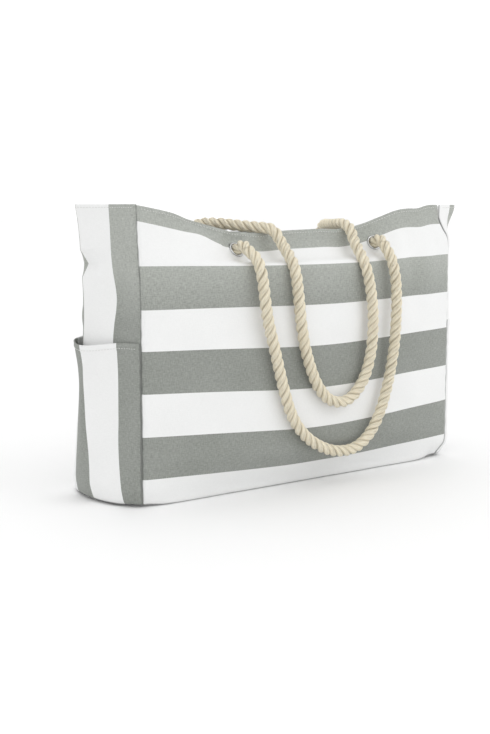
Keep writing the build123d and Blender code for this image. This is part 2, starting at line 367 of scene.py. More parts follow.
def back_sheet(x, h):
    """The back panel's outer face at x and a height along the cloth."""
    y, z = plain_panel("back", x, h)
    y = y + waves("back", x, h) * fullness(x)
    gap = SEAM_X - abs(x)
    turn = seam_turn(gap)
    y = y - turn - seam_turn(h) - seam_pucker(h, gap, 2.0)
    return slumped(x - np.sign(x) * turn, y, z)


def rounded(u, table, column):
    """A column of a table read along an end's cloth. Its corners are round, except at the seams."""
    width = np.clip(np.minimum(u, END_WIDTH - u), 0, BOW_ROUND)
    return blurred(u, width, table, column)


def end_shape(u, z, bow, fold=None):
    """Depth, outward reach and lifted height of an end's cloth, u along the cloth from the front seam."""
    y = -SEAM_Y + 2 * SEAM_Y * u / END_WIDTH
    middle = 1 - (y / SEAM_Y) ** 2
    profile = middle
    lifted = z + END_LIFT * middle * (1 - smooth(z / END_LIFT_HEIGHT))
    if fold is not None:
        share = smooth(z / FOLD_START)
        y = y + (rounded(u, fold, 1) - y) * share
        profile = middle + (rounded(u, fold, 2) - middle) * share
    gap = np.minimum(u, END_WIDTH - u)
    turn = seam_turn(gap)
    reach = blurred(z, BOW_ROUND, bow, 1) * profile - turn + seam_pucker(z, gap, 5.0) - seam_turn(z)
    return y - np.sign(y) * turn, reach, lifted


def beside_seam(u):
    """A fold that stands out beside the front seam, of height 1."""
    near = u / BESIDE_SEAM
    return near * np.exp(1 - near)


def pocket_hem(z):
    """How far a pocket's hem stands out from its cloth."""
    return HEM_STEP * smooth((z - POCKET_HEIGHT + HEM_WIDTH) / HEM_STEP_WIDTH)


def left_sheet(u, z):
    """The left end's outer face. It is creased and dented above the pocket."""
    y, reach, lifted = end_shape(u, z, END_BOW, LEFT_FOLD)
    crease = np.maximum(0, 1 - abs(z - CREASE_HEIGHT) / CREASE_HALF)
    reach = reach - CREASE_DEPTH * crease * hill(u, CREASE_PLACE, CREASE_SPREAD)
    reach = reach + folds(u, z, LEFT_FOLDS) + waves("left end", u, z) * end_fullness(u)
    return slumped(-(SEAM_X + reach), y, lifted)


def right_sheet(u, z):
    """The right end's outer face. It stands out beside the front seam, and flares there at the top."""
    y, reach, lifted = end_shape(u, z, END_BOW)
    reach = reach + (SEAM_FOLD + SEAM_FOLD_SWING * np.sin(z / SEAM_FOLD_STEP)) * beside_seam(u)
    flare = smooth((z - FLARE_LOW) / (FLARE_HIGH - FLARE_LOW))
    y = y + (rounded(u, RIGHT_FLARE, 1) - y) * flare
    reach = reach + (rounded(u, RIGHT_FLARE, 2) - reach) * flare
    reach = reach + waves("right end", u, z) * end_fullness(u)
    return slumped(SEAM_X + reach, y, lifted)


def left_pocket_sheet(u, z):
    """The left pocket's outer face."""
    y, reach, lifted = end_shape(u, z, POCKET_BOW, LEFT_POCKET_FOLD)
    mouth = smooth((z - MOUTH_START) / MOUTH_RISE)
    place, width, out = MOUTH_OUT
    reach = reach + pocket_hem(z) + out * mouth * hill(u, place, width)
    place, width, down = MOUTH_SAG
    lifted = lifted - down * mouth * hill(u, place, width)
    reach = reach + waves("left pocket", u, z) * end_fullness(u)
    return slumped(-(SEAM_X + POCKET_OUTSET + reach), y, lifted)


def right_pocket_sheet(u, z):
    """The right pocket's outer face."""
    y, reach, lifted = end_shape(u, z, POCKET_BOW)
    reach = reach + pocket_hem(z) + SEAM_FOLD * beside_seam(u)
    reach = reach + waves("right pocket", u, z) * end_fullness(u)
    return slumped(SEAM_X + POCKET_OUTSET + reach, y, lifted)


def base_sheet(a, y):
    """The base's underside, as wide as the bowed ends, with its ends lifted off the floor."""
    middle = 1 - (y / SEAM_Y) ** 2
    reach = SEAM_X - 2 * SEAM_DEPTH + (END_BOW[0, 1] - BASE_GAP) * middle
    curl = smooth((abs(a) / SEAM_X - BASE_CURL) / (1 - BASE_CURL))
    return slumped(a / SEAM_X * reach, y, END_LIFT * middle * curl + BASE_RAISE)


def normals(points):
    """Unit normals of a grid of points, by central differences."""
    across = np.gradient(points, axis=0)
    up = np.gradient(points, axis=1)
    n = np.cross(across, up)
    return n / np.linalg.norm(n, axis=-1, keepdims=True)


def eyelet_place(face, x, h):
    """An eyelet's centre on the cloth, and the cloth's outward normal there."""
    step = 4 * MM
    xs = x + np.array([[-step, step, 0, 0, 0]])
    hs = h + np.array([[0, 0, -step, step, 0]])
    p = np.stack(slumped(xs, *plain_panel(face, xs, hs)), -1)[0]
    normal = np.cross(p[1] - p[0], p[3] - p[2])
    normal = normal / np.linalg.norm(normal)
    if face == "back":
        normal = -normal
    return p[4], normal


EYELETS = {(face, side): eyelet_place(face, *spot) for (face, side), spot in EYELET_SPOTS.items()}


# ---------------- materials


WHITE = (0.84, 0.845, 0.84)
GREY = (0.365, 0.38, 0.35)
LINING_GREY = (0.74, 0.74, 0.71)
# painted shade, mixed into the grey stripes low on the bag
LOW_PAINTED_SHADE = (0.03, 0.04, 0.03)
# painted shade in the side seams' grooves, and a painted contact shadow along the bottom edge
SEAM_SHADE = (0.10, 0.105, 0.10)
CANVAS_PITCH = 0.75 * MM
LINING_PITCH = 0.4 * MM
PAINTED_SHADE_LOW = 225 * MM  # painted shade: the grey stripes are darker below this height, and plain above the next
PAINTED_SHADE_HIGH = 290 * MM
SEAM_SHADE_INNER = 0.4 * MM
SEAM_SHADE_OUTER = 1.6 * MM

# the cotton with painted shade in the hollows between yarns, and with painted light on the yarns' crests
COTTON_IN_PAINTED_SHADE = (0.90, 0.79, 0.57)
COTTON_IN_PAINTED_LIGHT = (1.0, 0.94, 0.76)
COTTON_FIBRE = (1.0, 0.94, 0.79)
COTTON_PATCH = (0.78, 0.67, 0.48)
# painted shade for the hollows between strands
GROOVE_PAINTED_SHADE = (0.30, 0.235, 0.125)
YARNS = 11  # yarns round each strand
YARN_LAY = 52 * MM

NICKEL_BRIGHT = (0.66, 0.67, 0.67)
NICKEL_DULL = (0.50, 0.50, 0.49)
THREAD_DARK = (0.56, 0.57, 0.55)
THREAD_LIGHT = (0.78, 0.78, 0.76)


def shaded(colour, share):
    """A colour made darker or lighter."""
    return tuple(min(1, c * share) for c in colour)


class Look:
    """A new material, with short calls that add its nodes. Each takes sockets, numbers or colours."""

    def __init__(self, name):
        self.material = bpy.data.materials.new(name)
        self.material.use_nodes = True
        self.nodes = self.material.node_tree.nodes
        self.shader = self.nodes["Principled BSDF"]

    def give(self, value, socket):
        """Links a socket, or sets its number or colour."""
        if isinstance(value, bpy.types.NodeSocket):
            self.material.node_tree.links.new(value, socket)
        elif isinstance(value, tuple) and socket.type == "RGBA":
            socket.default_value = (*value, 1)
        else:
            socket.default_value = value

    def shade(self, **values):
        """Sets the shader's inputs, their names written with underscores."""
        for name, value in values.items():
            self.give(value, self.shader.inputs[name.replace("_", " ")])

    def uv(self, name):
        node = self.nodes.new("ShaderNodeUVMap")
        node.uv_map = name
        return node.outputs[0]

    def place(self):
        """The place on the object, in metres."""
        return self.nodes.new("ShaderNodeTexCoord").outputs["Object"]

    def split(self, vector):
        node = self.nodes.new("ShaderNodeSeparateXYZ")
        self.give(vector, node.inputs[0])
        return node.outputs

    def math(self, operation, *values):
        node = self.nodes.new("ShaderNodeMath")
        node.operation = operation
        for value, socket in zip(values, node.inputs):
            self.give(value, socket)
        return node.outputs[0]

    def mix(self, share, a, b):
        """A mix of two colours."""
        node = self.nodes.new("ShaderNodeMix")
        node.data_type = "RGBA"
        self.give(share, node.inputs[0])
        self.give(a, node.inputs[6])
        self.give(b, node.inputs[7])
        return node.outputs[2]

    def noise(self, vector, scale, detail=2.0, stretch=(1, 1, 1)):
        """Noise over a vector in metres, its scale in cycles per metre."""
        mapping = self.nodes.new("ShaderNodeMapping")
        mapping.inputs["Scale"].default_value = stretch
        self.give(vector, mapping.inputs["Vector"])
        node = self.nodes.new("ShaderNodeTexNoise")
        node.inputs["Scale"].default_value = scale
        node.inputs["Detail"].default_value = detail
        self.give(mapping.outputs[0], node.inputs["Vector"])
        return node.outputs["Fac"]

    def spread(self, value, low, high, to_low, to_high):
        """Maps a range of values to another, clamped."""
        node = self.nodes.new("ShaderNodeMapRange")
        for number, socket in zip((value, low, high, to_low, to_high), node.inputs):
            self.give(number, socket)
        return node.outputs[0]

    def bump(self, height, distance, strength, below=None):
        node = self.nodes.new("ShaderNodeBump")
        self.give(distance, node.inputs["Distance"])
        self.give(strength, node.inputs["Strength"])
        self.give(height, node.inputs["Height"])
        if below is not None:
            self.give(below, node.inputs["Normal"])
        return node.outputs[0]

    def weave(self, vector, pitch):
        """Height of a plain weave, each thread passing over and under its neighbours."""
        across, up, rest = self.split(vector)
        warp = self.math("SINE", self.math("MULTIPLY", across, math.pi / pitch))
        weft = self.math("SINE", self.math("MULTIPLY", up, math.pi / pitch))
        return self.math("MULTIPLY", warp, weft)


def canvas_material(name, white, striped=True, pitch=CANVAS_PITCH):
    """Plain weave canvas. UV map "cloth" holds metres along and up the cloth, and UV map "stripe" the stripe
    count and the distance to the nearest side or bottom seam."""
    look = Look(name)
    cloth = look.uv("cloth")
    warp_streak = look.noise(cloth, 900, stretch=(1, 0.2, 1))
    weft_streak = look.noise(cloth, 900, stretch=(0.2, 1, 1))
    slub = look.math("MULTIPLY", look.math("ADD", warp_streak, weft_streak), 0.5)
    blotch = look.noise(cloth, 14, 3)
    fleck = look.spread(slub, 0.36, 0.64, 0, 1)
    colour = look.mix(fleck, shaded(white, 0.965), white)
    count, from_seam, rest = look.split(look.uv("stripe"))
    if striped:
        half = look.math("MULTIPLY", count, 0.5)
        is_grey = look.math("LESS_THAN", look.math("FRACT", half), 0.5)
        heather = look.mix(fleck, shaded(GREY, 0.80), shaded(GREY, 1.22))
        across, up, rest = look.split(cloth)
        # painted shade: the grey stripes darken towards the bottom
        low_painted_shade = look.spread(up, PAINTED_SHADE_LOW, PAINTED_SHADE_HIGH, 0.34, 0.0)
        heather = look.mix(low_painted_shade, heather, LOW_PAINTED_SHADE)
        colour = look.mix(is_grey, colour, heather)
    colour = look.mix(look.spread(blotch, 0.3, 0.7, 0.0, 0.10), colour, shaded(white, 0.72))
    # painted shade within a little of each side seam and of the bottom edge
    seam = look.spread(from_seam, SEAM_SHADE_INNER, SEAM_SHADE_OUTER, 0.5, 0.0)
    colour = look.mix(seam, colour, SEAM_SHADE)
    rough = look.spread(slub, 0.3, 0.7, 0.84, 0.96)
    weave = look.bump(look.weave(cloth, pitch), 0.12 * MM, 0.6)
    yarn = look.bump(slub, 0.35 * MM, 0.7, weave)
    look.shade(Base_Color=colour, Roughness=rough, Specular_IOR_Level=0.25, Normal=yarn)
    look.shade(Sheen_Weight=0.12, Sheen_Roughness=0.6)
    return look.material


def rope_material():
    """Natural cotton rope: yarns wind round each strand. Shade is painted into the hollows between strands
    and between yarns, and light onto the yarns' crests. UV map "yarn" holds the share of the way round a
    strand and the metres along the rope."""
    look = Look("cotton_rope")
    strand = look.uv("yarn")
    around, along, rest = look.split(strand)
    yarn_turn = look.math("MULTIPLY", around, YARNS * 2 * math.pi)
    yarn_run = look.math("MULTIPLY", along, YARNS * 2 * math.pi / YARN_LAY)
    wobble = look.noise(strand, 60, stretch=(1, 6, 1))
    phase = look.math("ADD", yarn_turn, yarn_run)
    phase = look.math("ADD", phase, look.math("MULTIPLY", wobble, 5.0))
    yarns = look.math("SINE", phase)
    painted_groove_shade = look.nodes.new("ShaderNodeAttribute")
    painted_groove_shade.attribute_name = "painted_groove_shade"
    place = look.place()
    fibre = look.noise(place, 1300, 3)
    patch = look.noise(place, 95)
    # painted shade between the yarns and painted light on their crests, following the yarns' bump
    colour = look.mix(look.spread(yarns, -0.9, 0.6, 0.0, 1.0), COTTON_IN_PAINTED_SHADE, COTTON_IN_PAINTED_LIGHT)
    colour = look.mix(look.spread(fibre, 0.35, 0.65, 0, 0.45), colour, COTTON_FIBRE)
    colour = look.mix(look.spread(patch, 0.4, 0.7, 0, 0.25), colour, COTTON_PATCH)
    # painted shade in the hollows between strands
    colour = look.mix(look.spread(painted_groove_shade.outputs["Fac"], 0.1, 0.85, 0, 0.6), colour, GROOVE_PAINTED_SHADE)
    coarse = look.bump(yarns, 0.5 * MM, 0.8)
    fuzz = look.bump(fibre, 0.4 * MM, 0.8, coarse)
    look.shade(Base_Color=colour, Roughness=0.92, Specular_IOR_Level=0.2, Normal=fuzz)
    look.shade(Sheen_Weight=0.25, Sheen_Roughness=0.5)
    return look.material


def metal_material():
    """Nickel plate, lightly brushed round the ring and rubbed by the rope."""
    look = Look("nickel_plate")
    place = look.place()
    fine = look.noise(place, 2600, stretch=(1, 1, 0.2))
    rubbed = look.spread(look.noise(place, 180, 3), 0.35, 0.7, 0, 1)
    colour = look.mix(rubbed, NICKEL_BRIGHT, NICKEL_DULL)
    rough = look.spread(fine, 0.3, 0.7, 0.14, 0.30)
    look.shade(Base_Color=colour, Metallic=1.0, Roughness=rough, Normal=look.bump(fine, 0.02 * MM, 0.35))
    return look.material


def thread_material():
    """Twisted polyester sewing thread."""
    look = Look("sewing_thread")
    ply = look.noise(look.place(), 2200)
    colour = look.mix(look.spread(ply, 0.3, 0.7, 0, 1), THREAD_DARK, THREAD_LIGHT)
    look.shade(Base_Color=colour, Roughness=0.55, Normal=look.bump(ply, 0.1 * MM, 0.5))
    return look.material


CANVAS_CLOTH = canvas_material("striped_canvas", WHITE)
BASE_CLOTH = canvas_material("base_canvas", WHITE, striped=False)
LINING_CLOTH = canvas_material("lining_cloth", LINING_GREY, striped=False, pitch=LINING_PITCH)
ROPE_COTTON = rope_material()
NICKEL = metal_material()
THREAD = thread_material()


# ---------------- mesh building


CANVAS_GRID = 3.3 * MM
LINING_GRID = 5 * MM
BASE_GRID = 6 * MM
RIM_INNER = 0.35  # grid points this share of a step inside a hole's rim, or the next outside it, move onto it
RIM_OUTER = 0.55
RIM_BULGE = 0.45
TINY = 1e-12


def new_object(name, verts, faces, material):
    mesh = bpy.data.meshes.new(name)
    mesh.from_pydata([tuple(v) for v in verts], [], faces)
    mesh.update()
    mesh.shade_smooth()
    mesh.materials.append(material)
    piece = bpy.data.objects.new(name, mesh)
    bpy.context.scene.collection.objects.link(piece)
    return piece


def set_uv(mesh, name, values):
    """A UV map from one (u, v) pair for each vertex."""
    layer = mesh.uv_layers.new(name=name)
    corner_verts = np.zeros(len(mesh.loops), np.int32)
    mesh.loops.foreach_get("vertex_index", corner_verts)
    layer.data.foreach_set("uv", np.asarray(values, np.float32)[corner_verts].ravel())


def clear_holes(a, b, holes):
    """Moves grid parameters away from round holes, and says which grid points are inside them."""
    inside = np.zeros(a.shape, bool)
    step = abs(a[1, 0] - a[0, 0])
    for ca, cb in holes:
        r = np.hypot(a - ca, b - cb)
        inside |= r < HOLE_RADIUS - RIM_INNER * step
        ring = (r >= HOLE_RADIUS - RIM_INNER * step) & (r < HOLE_RADIUS + RIM_OUTER * step)
        scale = np.where(ring, HOLE_RADIUS / np.maximum(r, TINY), 1)
        a = ca + (a - ca) * scale
        b = cb + (b - cb) * scale
    return a, b, inside


def press_flat(points, places, offset):
    """Presses the cloth onto each eyelet's plane, offset inward from it, and lets it go further out."""
    for centre, normal in places:
        rel = points - (centre - normal * offset)
        height = rel @ normal
        radius = np.linalg.norm(rel - height[..., None] * normal, axis=-1)
        near = 1 - smooth((radius - EYELET_PRESS) / (EYELET_FADE - EYELET_PRESS))
        near = near * (abs(height) < PRESS_REACH)
        points = points - (near * height)[..., None] * normal
    return points


def shell(
    name, sheet, a_range, b_range, spacing, thickness, inset, material, stripe,
    holes=(), places=(), flip=False,
):
    """A cloth shell: an outer and an inner face of one grid, joined by a rounded rim, with two UV maps."""
    count_a = max(2, round((a_range[1] - a_range[0]) / spacing))
    count_b = max(2, round((b_range[1] - b_range[0]) / spacing))
    a_steps = np.linspace(*a_range, count_a + 1)
    b_steps = np.linspace(*b_range, count_b + 1)
    a, b = np.meshgrid(a_steps, b_steps, indexing="ij")
    a, b, inside = clear_holes(a, b, holes)
    surface = np.stack(sheet(a, b), -1)
    into = normals(surface) * (1 if flip else -1)
    outer = press_flat(surface + into * inset, places, inset)
    inner = press_flat(surface + into * (inset + thickness), places, inset + thickness)
    keep = ~inside
    number = np.cumsum(keep.ravel()).reshape(keep.shape) - 1
    total = int(keep.sum())
    cells = keep[:-1, :-1] & keep[1:, :-1] & keep[1:, 1:] & keep[:-1, 1:]
    faces = []
    used = {}
    for i, j in zip(*np.nonzero(cells)):
        quad = [number[i, j], number[i + 1, j], number[i + 1, j + 1], number[i, j + 1]]
        if flip:
            quad.reverse()
        faces.append(quad)
        faces.append([v + total for v in reversed(quad)])
        for k in range(4):
            used[quad[k], quad[(k + 1) % 4]] = True
    rims = [edge for edge in used if (edge[1], edge[0]) not in used]
    rim_verts = sorted({v for edge in rims for v in edge})
    middle = {v: 2 * total + k for k, v in enumerate(rim_verts)}
    for p, q in rims:
        faces.append([q, p, middle[p], middle[q]])
        faces.append([middle[q], middle[p], p + total, q + total])
    flat_outer = outer[keep]
    flat_inner = inner[keep]
    centre = (flat_outer + flat_inner) / 2
    following = {}
    for p, q in rims:
        following.setdefault(p, []).append(q)
        following.setdefault(q, []).append(p)
    bulged = []
    middle_point = np.mean(flat_outer, axis=0)
    for v in rim_verts:
        ends = following[v]
        along = flat_outer[ends[0]] - flat_outer[ends[-1]]
        through = flat_outer[v] - flat_inner[v]
        away = np.cross(along, through)
        size = np.linalg.norm(away)
        outward = flat_outer[v] - middle_point
        away = away / size if size > TINY else np.zeros(3)
        if away @ outward < 0:
            away = -away
        bulged.append(centre[v] + away * thickness * RIM_BULGE)
    verts = np.concatenate([flat_outer, flat_inner, np.array(bulged)])
    piece = new_object(name, verts, [[int(v) for v in f] for f in faces], material)
    cloth = np.stack([a[keep], b[keep]], -1)
    cloth = np.concatenate([cloth, cloth, cloth[rim_verts]])
    set_uv(piece.data, "cloth", cloth)
    count = stripe(cloth[:, 0], cloth[:, 1])
    from_seam = np.minimum(cloth[:, 0] - a_range[0], a_range[1] - cloth[:, 0])
    from_seam = np.minimum(from_seam, cloth[:, 1] - b_range[0])
    set_uv(piece.data, "stripe", np.stack([count, from_seam], -1))
    clean_mesh(piece)
    return piece


def clean_mesh(piece):
    """Deletes vertices that no face uses, and turns every face outward."""
    bm = bmesh.new()
    bm.from_mesh(piece.data)
    loose = [v for v in bm.verts if not v.link_faces]
    bmesh.ops.delete(bm, geom=loose, context="VERTS")
    bmesh.ops.recalc_face_normals(bm, faces=bm.faces)
    bm.to_mesh(piece.data)
    bm.free()


# ---------------- camera, light and floor

CAMERA_PLACE = (-1078.3 * MM, -1331.0 * MM, 367.5 * MM)
CAMERA_TURN = math.radians(37.89)
CAMERA_DIP = math.radians(7.35)
CAMERA_LENS = 60.9
SENSOR_WIDTH = 36

WORLD_STRENGTH = 1.1
KEY_PLACE = Vector((1.1, -2.3, 2.3))
KEY_TARGET = Vector((0, 0, 0.2))
KEY_SIZE = 1.4
KEY_POWER = 10

FLOOR_WHITE = (0.915, 0.915, 0.915)
FLOOR_REACH = 30
FLOOR_DROP = 0.3 * MM


def make_camera():
    camera = bpy.data.objects.new("camera", bpy.data.cameras.new("camera"))
    bpy.context.scene.collection.objects.link(camera)
    camera.data.lens = CAMERA_LENS
    camera.data.sensor_width = SENSOR_WIDTH
    camera.data.sensor_fit = "AUTO"
    camera.data.clip_start = 0.01
    camera.data.clip_end = 100
    camera.location = CAMERA_PLACE
    ahead = Vector((
        math.sin(CAMERA_TURN) * math.cos(CAMERA_DIP),
        math.cos(CAMERA_TURN) * math.cos(CAMERA_DIP),
        -math.sin(CAMERA_DIP),
    ))
    camera.rotation_mode = "QUATERNION"
    camera.rotation_quaternion = ahead.to_track_quat("-Z", "Y")
    bpy.context.scene.camera = camera


def make_light():
    """An even white sky, and one soft key light from the right."""
    world = bpy.data.worlds.new("studio")
    world.use_nodes = True
    background = world.node_tree.nodes["Background"]
    background.inputs["Color"].default_value = (1, 1, 1, 1)
    background.inputs["Strength"].default_value = WORLD_STRENGTH
    bpy.context.scene.world = world
    light = bpy.data.objects.new("key", bpy.data.lights.new("key", "AREA"))
    bpy.context.scene.collection.objects.link(light)
    light.data.shape = "SQUARE"
    light.data.size = KEY_SIZE
    light.data.energy = KEY_POWER
    light.location = KEY_PLACE
    light.rotation_mode = "QUATERNION"
    light.rotation_quaternion = (KEY_TARGET - KEY_PLACE).to_track_quat("-Z", "Y")
    bpy.context.scene.view_settings.view_transform = "Standard"


def make_floor():
    look = Look("studio_floor")
    look.shade(Base_Color=FLOOR_WHITE, Roughness=0.7)
    corners = [(x * FLOOR_REACH, y * FLOOR_REACH, 0) for x, y in ((-1, -1), (1, -1), (1, 1), (-1, 1))]
    floor = new_object("floor", corners, [[0, 1, 2, 3]], look.material)
    floor.location.z = -FLOOR_DROP


make_camera()
make_light()
make_floor()


# ---------------- the bag's cloth


BASE_INSET = 2 * MM
BASE_LINING_LIFT = 2.2 * MM


def front_stripes(x, h):
    """The stripe count over the front or back: a whole number at each edge between stripes."""
    share = (x + SEAM_X) / (2 * SEAM_X)
    left = np.interp(h, LEFT_EDGES, STRIPE_COUNTS)
    right = np.interp(h, RIGHT_EDGES, STRIPE_COUNTS)
    straight = left + (right - left) * share
    middle = np.interp(h, MIDDLE_EDGES, STRIPE_COUNTS)
    return straight + (middle - straight) * hill(x, MIDDLE_X, MIDDLE_SPREAD)


def left_stripes(u, z):
    return u / END_STRIPE


def right_stripes(u, z):
    return (END_WIDTH - u) / END_STRIPE


def left_pocket_stripes(u, z):
    front = TUCK_FRONT * (1 - smooth(z / TUCK_FRONT_TOP))
    back = TUCK_BACK * (1 - smooth(z / TUCK_BACK_TOP))
    tucked = front + (back - front) * smooth((u - TUCK_CHANGE) / TUCK_CHANGE_WIDTH)
    return (u + POCKET_SHIFT + tucked) / END_STRIPE


def right_pocket_stripes(u, z):
    return (END_WIDTH - u + POCKET_SHIFT) / END_STRIPE


def no_stripes(a, b):
    return 0 * a


def cloth_piece(name, node, slot, sheet, a_range, b_range, stripe, face=None, flip=False):
    """A cloth panel that stands for a CAD node, built as a sheet of its flat size."""
    lining = slot == "lining"
    spots = [(face, "left"), (face, "right")] if face else []
    piece = shell(
        name, sheet, a_range, b_range,
        spacing=LINING_GRID if lining else CANVAS_GRID,
        thickness=LINING if lining else CANVAS,
        inset=LINING_INSET if lining else 0.0,
        material=LINING_CLOTH if lining else CANVAS_CLOTH,
        stripe=stripe,
        holes=[EYELET_SPOTS[spot] for spot in spots],
        places=[EYELETS[spot] for spot in spots],
        flip=flip,
    )
    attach(piece, "bag")
    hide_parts(node)


def make_panels():
    """The front, the back and the two ends, each up to the bag's top edge."""
    wide = (-SEAM_X, SEAM_X)
    deep = (0, END_WIDTH)
    for name, node, sheet, a_range, stripe, face, flip in (
        ("front_cloth", "front_panel", front_sheet, wide, front_stripes, "front", False),
        ("back_cloth", "back_panel", back_sheet, wide, front_stripes, "back", True),
        ("left_end_cloth", "left_gusset", left_sheet, deep, left_stripes, None, True),
        ("right_end_cloth", "right_gusset", right_sheet, deep, right_stripes, None, False),
    ):
        tall = (0, CLOTH_HEIGHT)
        cloth_piece(name, node, "striped_canvas", sheet, a_range, tall, stripe, face, flip)


def make_pockets():
    for side, sheet, stripe, flip in (
        ("left", left_pocket_sheet, left_pocket_stripes, True),
        ("right", right_pocket_sheet, right_pocket_stripes, False),
    ):
        node = side + "_pocket"
        deep = (0, END_WIDTH)
        tall = (0, POCKET_HEIGHT)
        cloth_piece(node + "_cloth", node, "striped_canvas", sheet, deep, tall, stripe, flip=flip)


def make_linings():
    side_gap = LINING_INSET + LINING
    wide = (-SEAM_X + side_gap, SEAM_X - side_gap)
    deep = (side_gap, END_WIDTH - side_gap)
    tall = (side_gap, CLOTH_HEIGHT - LINING_DROP)
    for side, sheet, a_range, face, flip in (
        ("front", front_sheet, wide, "front", False),
        ("back", back_sheet, wide, "back", True),
        ("left", left_sheet, deep, None, True),
        ("right", right_sheet, deep, None, False),
    ):
        name = side + "_lining_cloth"
        cloth_piece(name, "lining_" + side, "lining", sheet, a_range, tall, no_stripes, face, flip)


def make_base():
    for name, node, slot, lift, thickness, cloth, under in (
        ("base_cloth", "base_panel", "base_canvas", 0.0, CANVAS, BASE_CLOTH, "floor"),
        ("base_lining_cloth", "lining_base", "lining", BASE_LINING_LIFT, LINING, LINING_CLOTH, "base_cloth"),
    ):
        half_x = SEAM_X - BASE_INSET - lift
        half_y = SEAM_Y - BASE_INSET - lift
        piece = shell(
            name, base_sheet, (-half_x, half_x), (-half_y, half_y),
            spacing=BASE_GRID, thickness=thickness, inset=lift, material=cloth, stripe=no_stripes, flip=True,
        )
        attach(piece, "bag")
        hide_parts(node)


# ---------------- stitching

STITCH_LENGTH = 3.1 * MM
STITCH_PITCH = 4.4 * MM
STITCH_START = 3 * MM
STITCH_END = 2 * MM
STITCH_SIDES = 6
STITCH_RINGS = ((0.12, 0.6), (0.5, 1.0), (0.88, 0.6))  # shares of a stitch's length and of its radius
THREAD_RADIUS = 0.38 * MM
THREAD_RAISE = 0.7
THREAD_SINK = 0.3 * MM
ROW_STEP = 0.5 * MM
ROW_INSET = 4 * MM
TOP_STITCH = 3.2 * MM  # from the top edge
POCKET_STITCH = 6.2 * MM  # from the pocket's mouth


def running_length(line):
    """The length along a polyline up to each of its points."""
    return np.concatenate([[0], np.cumsum(np.linalg.norm(np.diff(line, axis=0), axis=1))])


def read_line(line, lengths, at):
    """A polyline's values at one or more running lengths."""
    return np.stack([np.interp(at, lengths, line[:, k]) for k in range(3)], -1)


def sheet_row(sheet, a_values, height, outward):
    """Points and outward normals along a level line of a sheet."""
    b_values = height + np.array([-1, 0, 1]) * MM
    a, b = np.meshgrid(a_values, b_values, indexing="ij")
    points = np.stack(sheet(a, b), -1)
    return points[:, 1], normals(points)[:, 1] * outward


def add_stitch(verts, faces, points, outs):
    """One stitch, pointed at both ends, from the points and outward normals at its ends and rings."""
    first = len(verts)
    ahead = (points[-1] - points[0]) / np.linalg.norm(points[-1] - points[0])
    across = np.cross(ahead, outs[0])
    verts.append(points[0] - outs[0] * THREAD_SINK)
    for (share, size), point, out in zip(STITCH_RINGS, points[1:], outs[1:]):
        middle = point + out * THREAD_RADIUS * THREAD_RAISE * size
        for k in range(STITCH_SIDES):
            turn = 2 * math.pi * k / STITCH_SIDES
            verts.append(middle + THREAD_RADIUS * size * (math.cos(turn) * across + math.sin(turn) * out))
    verts.append(points[-1] - outs[-1] * THREAD_SINK)
    last = len(verts) - 1
    for k in range(STITCH_SIDES):
        m = (k + 1) % STITCH_SIDES
        faces.append([first, first + 1 + m, first + 1 + k])
        for ring in range(len(STITCH_RINGS) - 1):
            low = first + 1 + STITCH_SIDES * ring
            high = low + STITCH_SIDES
            faces.append([low + k, low + m, high + m, high + k])
        faces.append([last, last - STITCH_SIDES + k, last - STITCH_SIDES + m])


def stitch_row(name, sheet, a_range, height, outward):
    """A row of raised lock stitches along a level line of the cloth."""
    fine = np.linspace(*a_range, round((a_range[1] - a_range[0]) / ROW_STEP))
    line, outs = sheet_row(sheet, fine, height, outward)
    lengths = running_length(line)
    shares = np.array([0] + [share for share, size in STITCH_RINGS] + [1])
    verts = []
    faces = []
    start = STITCH_START
    while start + STITCH_LENGTH < lengths[-1] - STITCH_END:
        at = start + shares * STITCH_LENGTH
        out = read_line(outs, lengths, at)
        out = out / np.linalg.norm(out, axis=1, keepdims=True)
        add_stitch(verts, faces, read_line(line, lengths, at), out)
        start += STITCH_PITCH
    piece = new_object(name, verts, faces, THREAD)
    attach(piece, "bag")


def make_stitching():
    wide = (-SEAM_X + ROW_INSET, SEAM_X - ROW_INSET)
    deep = (ROW_INSET, END_WIDTH - ROW_INSET)
    top = CLOTH_HEIGHT - TOP_STITCH
    mouth = POCKET_HEIGHT - POCKET_STITCH
    stitch_row("front_hem_stitching", front_sheet, wide, top, 1)
    stitch_row("back_hem_stitching", back_sheet, wide, top, -1)
    stitch_row("left_hem_stitching", left_sheet, deep, top, -1)
    stitch_row("right_hem_stitching", right_sheet, deep, top, 1)
    stitch_row("left_pocket_stitching", left_pocket_sheet, deep, mouth, -1)
    stitch_row("right_pocket_stitching", right_pocket_sheet, deep, mouth, 1)


# ---------------- eyelets


RING_SIDES = 64


def lathe(name, profile, centre, normal):
    """A closed ring turned about an eyelet's axis from (radius, height) points in mm."""
    axis = Vector(normal)
    first = np.array(axis.orthogonal().normalized())
    second = np.cross(normal, first)
    verts = []
    faces = []
    count = len(profile)
    for k in range(RING_SIDES):
        turn = 2 * math.pi * k / RING_SIDES
        out = math.cos(turn) * first + math.sin(turn) * second
        verts.extend(centre + out * r * MM + normal * h * MM for r, h in profile)
        low = k * count
        high = (k + 1) % RING_SIDES * count
        for m in range(count):
            n = (m + 1) % count
            faces.append([low + m, low + n, high + n, high + m])
    ring = new_object(name, verts, faces, NICKEL)
    clean_mesh(ring)
    return ring


def arc(centre_r, centre_h, radius_r, radius_h, start, end, steps):
    """Profile points along an ellipse's arc, angles in degrees."""
    turns = [math.radians(start + (end - start) * k / steps) for k in range(steps + 1)]
    return [(centre_r + radius_r * math.cos(t), centre_h + radius_h * math.sin(t)) for t in turns]


